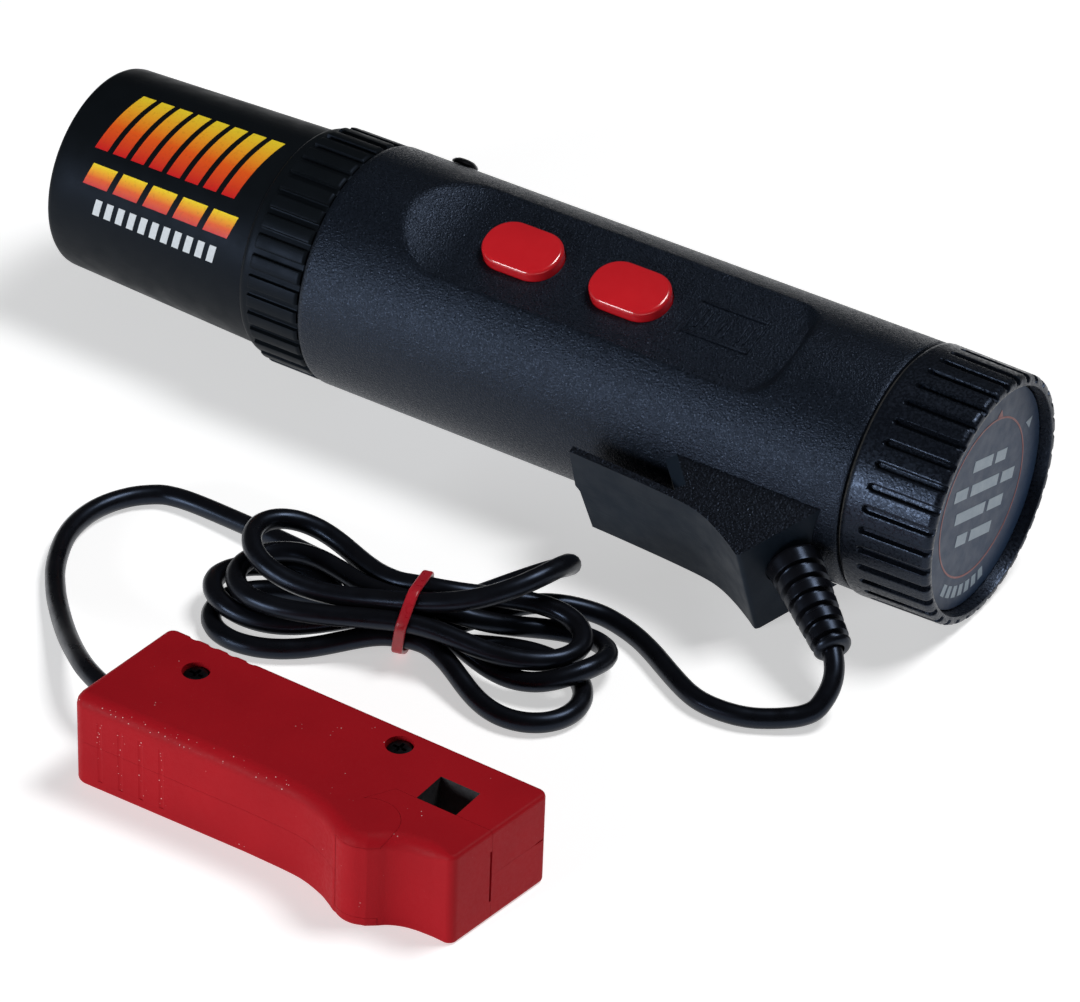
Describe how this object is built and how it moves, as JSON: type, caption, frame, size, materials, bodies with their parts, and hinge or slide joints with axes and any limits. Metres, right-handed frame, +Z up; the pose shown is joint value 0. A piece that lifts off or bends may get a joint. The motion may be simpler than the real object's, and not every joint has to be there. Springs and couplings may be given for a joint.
{
  "type": "ignition timing light",
  "caption": "Torch-shaped self-powered ignition timing light with two push buttons, a screw-off rear cap and an inductive pickup clamp on a thin hanked lead.",
  "frame": {"origin": "on the table, under the middle of the box round the tool and its clamp as they lie", "axes": "+X along the tool from its lens to its rear cap, +Y from the clamp to the tool, +Z up"},
  "size_m": [0.2348, 0.1954, 0.0578],
  "materials": {
    "body_black": "coarse pebbled blue-black ABS",
    "barrel_black": "satin black ABS",
    "bracket_black": "textured black ABS",
    "label_slate": "printed polycarbonate label",
    "button_red": "glossy red",
    "clamp_red": "matte red nylon with pale wear specks",
    "cord_black": "glossy black PVC",
    "tie_red": "dark red rubber band",
    "seal_black": "matte black rubber",
    "clear_glass": "clear",
    "mirror": "bright vacuum-metallised",
    "board_green": "solder-masked fibreglass",
    "ferrite": "fired dark grey ferrite",
    "copper": "enamelled copper wire",
    "brass": "bright",
    "steel": "zinc plated",
    "black_steel": "black oxide",
    "cell_jacket": "can with a plain printed jacket",
    "nylon_white": "natural nylon"
  },
  "bodies": {
    "tool_body": {"body_shell": "body_black", "barrel_screw": "black_steel", "lens_barrel": "barrel_black", "front_lens": "clear_glass", "lens_ring": "barrel_black", "reflector": "mirror", "flash_tube": "clear_glass", "tube_socket": "nylon_white", "circuit_board": "board_green", "inverter_transformer": "ferrite", "storage_capacitor": "cell_jacket", "trigger_coil": "copper", "switch_board": "board_green", "power_switch": "black_steel", "power_button_spring": "steel", "flash_switch": "black_steel", "flash_button_spring": "steel", "contact_bulkhead": "nylon_white", "contact_leaf_minus": "brass", "contact_leaf_plus": "brass", "cap_gasket": "seal_black", "cord_bracket": "bracket_black", "cable_boot": "cord_black", "bracket_screw_1": "steel", "bracket_screw_2": "steel", "pickup_case_bottom": "clamp_red", "pickup_case_top": "clamp_red", "jaw_pin": "steel", "jaw_spring": "steel", "ferrite_yoke": "ferrite", "pickup_coil": "copper", "pickup_screw_1": "black_steel", "pickup_screw_2": "black_steel", "cord_bushing": "seal_black", "cord_to_hank": "cord_black", "cord_hank": "cord_black", "hank_tie": "tie_red", "cord_to_clamp": "cord_black"},
    "collar_ring": {"front_collar": "barrel_black"},
    "power_key": {"power_button": "button_red"},
    "flash_key": {"flash_button": "button_red"},
    "battery_drawer": {"battery_tray": "nylon_white", "cell_1": "cell_jacket", "cell_2": "cell_jacket", "cell_3": "cell_jacket", "cell_4": "cell_jacket", "cell_5": "cell_jacket", "cell_6": "cell_jacket", "cell_7": "cell_jacket", "cell_8": "cell_jacket", "tray_terminal_minus": "brass", "tray_terminal_plus": "brass"},
    "cap": {"rear_cap": "body_black", "cap_label": "label_slate"},
    "jaw": {"pickup_jaw": "clamp_red", "ferrite_bar": "ferrite"}
  },
  "joints": [
    {"name": "front_collar_turn", "type": "hinge", "parent": "tool_body", "child": "collar_ring", "pos_m": [-0.053, 0.06884, 0.0289], "axis": [1, 0, 0], "range_deg": [0, 90]},
    {"name": "power_button_press", "type": "slide", "parent": "tool_body", "child": "power_key", "axis": [0, 0.3007, -0.9537], "range_m": [0, 0.0014], "stiffness_N_per_m": 600, "springref_m": -0.002, "deforming": ["power_button_spring"]},
    {"name": "flash_button_press", "type": "slide", "parent": "tool_body", "child": "flash_key", "axis": [0, 0.3007, -0.9537], "range_m": [0, 0.0014], "stiffness_N_per_m": 600, "springref_m": -0.002, "deforming": ["flash_button_spring"]},
    {"name": "battery_tray_slide", "type": "slide", "parent": "tool_body", "child": "battery_drawer", "axis": [1, 0, 0], "range_m": [0, 0.115]},
    {"name": "rear_cap_turn", "type": "hinge", "parent": "battery_drawer", "child": "cap", "pos_m": [0.107, 0.06884, 0.0289], "axis": [1, 0, 0], "range_deg": [0, 90]},
    {"name": "jaw_open", "type": "hinge", "parent": "tool_body", "child": "jaw", "pos_m": [0.06469, -0.09133, 0.01115], "axis": [0, 0, -1], "range_deg": [0, 30], "stiffness_Nm_per_rad": 0.05, "springref_deg": -20.05}
  ]
}
